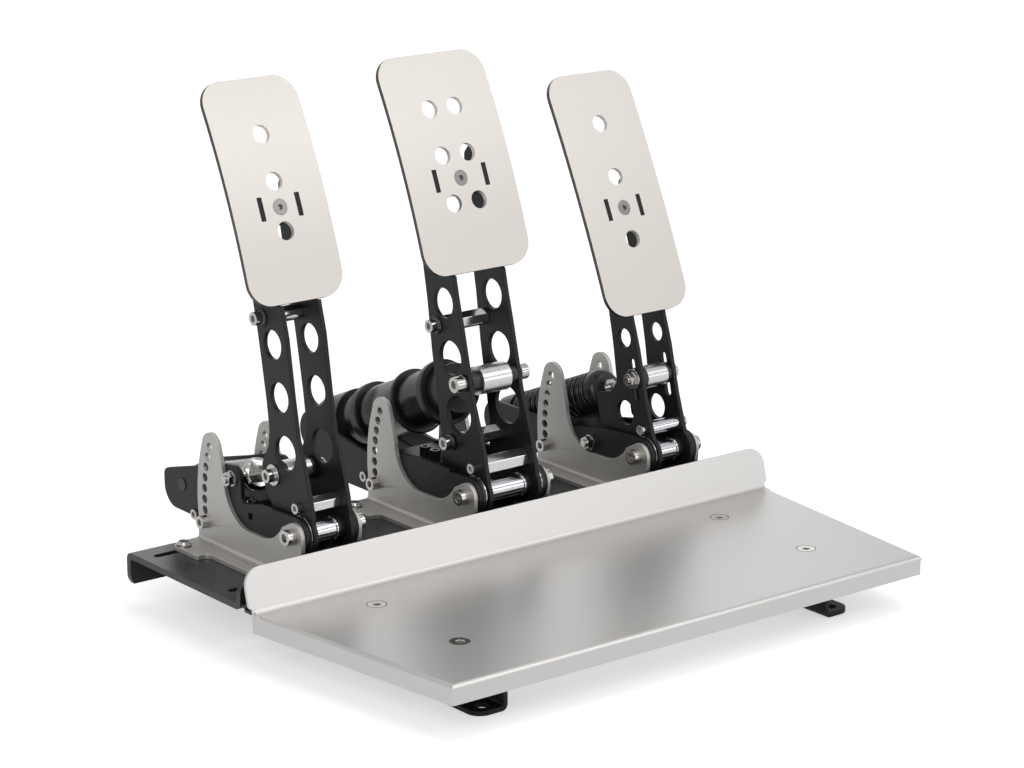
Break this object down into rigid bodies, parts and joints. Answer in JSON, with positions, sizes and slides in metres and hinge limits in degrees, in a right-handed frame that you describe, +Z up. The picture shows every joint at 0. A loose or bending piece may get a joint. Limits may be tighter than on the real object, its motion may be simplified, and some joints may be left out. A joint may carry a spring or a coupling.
{
  "type": "sim racing pedal set",
  "caption": "Set of clutch, brake and throttle pedals with bowed stainless faces on a slotted base with a heel plate.",
  "frame": {"origin": "on the floor, under the middle of the set's outline seen from above", "axes": "+X to the driver's right, +Y away from the driver, +Z up"},
  "size_m": [0.4056, 0.3762, 0.3276],
  "materials": {
    "black_sheet": "fine black powder coat",
    "stainless": "fine bead blast",
    "stainless_face": "pale bead blast",
    "zinc": "bright zinc plating",
    "black_anodised": "satin black",
    "black_steel": "black spring wire",
    "rubber": "matt",
    "plastic": "matt black"
  },
  "bodies": {
    "base": {"base_plate": "black_sheet", "heel_plate": "stainless_face", "rail_left": "black_sheet", "rail_right": "black_sheet", "gap_strip": "black_sheet", "heel_screws": "zinc", "bracket_screws": "zinc", "pivot_axles": "zinc", "pivot_bolts": "zinc", "frame_bolts": "zinc", "clutch_bracket_left": "stainless", "clutch_bracket_right": "stainless", "clutch_frame": "black_sheet", "clutch_sensor": "plastic", "brake_bracket_left": "stainless", "brake_bracket_right": "stainless", "brake_frame": "black_sheet", "brake_sensor": "plastic", "throttle_bracket_left": "stainless", "throttle_bracket_right": "stainless", "throttle_frame": "black_sheet", "throttle_sensor": "plastic"},
    "clutch_pedal": {"clutch_bushes": "plastic", "clutch_lever_left": "black_sheet", "clutch_lever_right": "black_sheet", "clutch_spacers": "zinc", "clutch_lever_screws": "zinc", "clutch_face": "stainless_face", "clutch_face_mount": "zinc"},
    "clutch_push_rod": {"clutch_trunnion": "zinc", "clutch_rod": "zinc", "clutch_cap": "zinc", "clutch_spring": "zinc"},
    "clutch_seat": {"clutch_rear_seat": "black_anodised"},
    "brake_pedal": {"brake_bushes": "plastic", "brake_lever_left": "black_sheet", "brake_lever_right": "black_sheet", "brake_spacers": "zinc", "brake_lever_screws": "zinc", "brake_face": "stainless_face", "brake_face_mount": "zinc"},
    "brake_push_rod": {"brake_trunnion": "zinc", "brake_rod": "zinc", "brake_cap": "black_anodised", "brake_elastomers": "rubber"},
    "brake_front_disc": {"brake_disc_front": "black_anodised"},
    "brake_rear_disc": {"brake_disc_rear": "black_anodised"},
    "brake_seat": {"brake_rear_seat": "black_anodised"},
    "throttle_pedal": {"throttle_bushes": "plastic", "throttle_lever_left": "black_sheet", "throttle_lever_right": "black_sheet", "throttle_spacers": "zinc", "throttle_lever_screws": "zinc", "throttle_face": "stainless_face", "throttle_face_mount": "zinc"},
    "throttle_push_rod": {"throttle_trunnion": "zinc", "throttle_rod": "zinc", "throttle_cap": "black_anodised", "throttle_spring": "black_steel"},
    "throttle_seat": {"throttle_rear_seat": "black_anodised"}
  },
  "joints": [
    {"name": "clutch_pedal_hinge", "type": "hinge", "parent": "base", "child": "clutch_pedal", "pos_m": [-0.133, 0.0015, 0.0663], "axis": [1, 0, 0], "range_deg": [-18, 0], "stiffness_Nm_per_rad": 12, "springref_deg": 20.05, "deforming": ["clutch_spring"]},
    {"name": "clutch_rod_pivot", "type": "hinge", "parent": "clutch_pedal", "child": "clutch_push_rod", "pos_m": [-0.133, 0.0305, 0.0963], "axis": [1, 0, 0], "range_deg": [0, 22.74]},
    {"name": "clutch_seat_pivot", "type": "hinge", "parent": "base", "child": "clutch_seat", "pos_m": [-0.133, 0.1263, 0.0678], "axis": [1, 0, 0], "range_deg": [0, 4.71]},
    {"name": "brake_pedal_hinge", "type": "hinge", "parent": "base", "child": "brake_pedal", "pos_m": [0.0035, 0.0015, 0.0663], "axis": [1, 0, 0], "range_deg": [-7, 0], "stiffness_Nm_per_rad": 200, "springref_deg": 2.86, "deforming": ["brake_elastomers"]},
    {"name": "brake_rod_pivot", "type": "hinge", "parent": "brake_pedal", "child": "brake_push_rod", "pos_m": [0.0035, 0.0152, 0.1338], "axis": [1, 0, 0], "range_deg": [0, 6.61]},
    {"name": "brake_seat_pivot", "type": "hinge", "parent": "base", "child": "brake_seat", "pos_m": [0.0035, 0.1701, 0.0687], "axis": [1, 0, 0], "range_deg": [-0.46, 0]},
    {"name": "brake_front_disc_slide", "type": "slide", "parent": "brake_push_rod", "child": "brake_front_disc", "axis": [0, 0.9219, -0.3874], "range_m": [-0.00284, 0]},
    {"name": "brake_rear_disc_slide", "type": "slide", "parent": "brake_push_rod", "child": "brake_rear_disc", "axis": [0, 0.9219, -0.3874], "range_m": [-0.00704, 0]},
    {"name": "throttle_pedal_hinge", "type": "hinge", "parent": "base", "child": "throttle_pedal", "pos_m": [0.1347, 0.0015, 0.0663], "axis": [1, 0, 0], "range_deg": [-18, 0], "stiffness_Nm_per_rad": 10, "springref_deg": 20.05, "deforming": ["throttle_spring"]},
    {"name": "throttle_rod_pivot", "type": "hinge", "parent": "throttle_pedal", "child": "throttle_push_rod", "pos_m": [0.1347, 0.0145, 0.1134], "axis": [1, 0, 0], "range_deg": [0, 18.23]},
    {"name": "throttle_seat_pivot", "type": "hinge", "parent": "base", "child": "throttle_seat", "pos_m": [0.1347, 0.1535, 0.056], "axis": [1, 0, 0], "range_deg": [0, 0.2]}
  ],
  "couplings": [
    {"joint": "clutch_rod_pivot", "follows": "clutch_pedal_hinge", "ratio": -1.2605},
    {"joint": "clutch_seat_pivot", "follows": "clutch_pedal_hinge", "ratio": -0.2605},
    {"joint": "brake_rod_pivot", "follows": "brake_pedal_hinge", "ratio": -0.9374},
    {"joint": "brake_seat_pivot", "follows": "brake_pedal_hinge", "ratio": 0.0626},
    {"joint": "brake_front_disc_slide", "follows": "brake_pedal_hinge", "m_per_rad": 0.02305},
    {"joint": "brake_rear_disc_slide", "follows": "brake_pedal_hinge", "m_per_rad": 0.05743},
    {"joint": "throttle_rod_pivot", "follows": "throttle_pedal_hinge", "ratio": -1.01},
    {"joint": "throttle_seat_pivot", "follows": "throttle_pedal_hinge", "ratio": -0.01}
  ]
}
